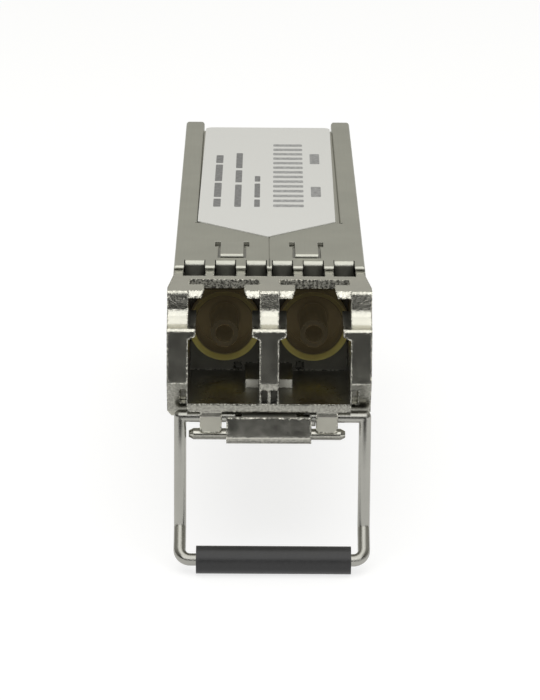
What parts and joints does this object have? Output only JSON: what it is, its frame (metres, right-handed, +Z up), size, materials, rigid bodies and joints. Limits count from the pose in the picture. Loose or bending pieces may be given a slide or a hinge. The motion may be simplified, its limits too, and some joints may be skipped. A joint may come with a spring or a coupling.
{
  "type": "sfp transceiver",
  "caption": "Pluggable optical transceiver module with a duplex LC nose, spring-finger cover, pointed label and a hanging wire bail that works its latch.",
  "frame": {"origin": "underside of the body, on its middle line, at the cage stop behind the exposed nose", "axes": "+Y from the nose to the rear, the way the module is pushed in; +Z up, label side; +X to the right seen from the nose"},
  "size_m": [0.0144, 0.0584, 0.0199],
  "materials": {
    "plated_casting": "bright nickel plate on a rough die casting",
    "satin_shell": "satin plated casting",
    "satin_sheet": "satin rolled sheet",
    "label_film": "printed matt film",
    "amber_plastic": "amber moulding",
    "bail_steel": "drawn plated wire",
    "grip_black": "satin black tube",
    "plated_lever": "bright plate",
    "plain_steel": "bright steel",
    "can_metal": "gold-flashed steel",
    "lead_gold": "gold flash",
    "board_green": "solder mask",
    "contact_gold": "hard gold",
    "chip_black": "moulded package",
    "capacitor_tan": "ceramic",
    "resistor_dark": "ceramic"
  },
  "bodies": {
    "module": {"nose": "plated_casting", "base": "satin_shell", "top_cover": "satin_sheet", "label": "label_film", "tx_receptacle": "amber_plastic", "rx_receptacle": "amber_plastic", "latch_pin": "plain_steel", "latch_spring": "plain_steel", "osa_retainer": "plain_steel", "tx_can": "can_metal", "rx_can": "can_metal", "tx_leads": "lead_gold", "rx_leads": "lead_gold", "circuit_board": "board_green", "contacts_top": "contact_gold", "contacts_bottom": "contact_gold", "driver_chip": "chip_black", "controller_chip": "chip_black", "memory_chip": "chip_black", "chip_capacitors": "capacitor_tan", "chip_resistors": "resistor_dark"},
    "bail": {"bail_wire": "bail_steel", "bail_grip": "grip_black"},
    "latch": {"latch_lever": "plated_lever", "lever_rod": "plated_lever"}
  },
  "joints": [
    {"name": "bail_swing", "type": "hinge", "parent": "module", "child": "bail", "pos_m": [0, -0.0079, -0.0005], "axis": [-1, 0, 0], "range_deg": [0, 146]},
    {"name": "latch_rock", "type": "hinge", "parent": "module", "child": "latch", "pos_m": [0, -0.0046, -0.0004], "axis": [-1, 0, 0], "range_deg": [0, 3], "deforming": ["latch_spring"]}
  ],
  "couplings": [
    {"joint": "latch_rock", "follows": "bail_swing", "ratio": 0.0205}
  ]
}
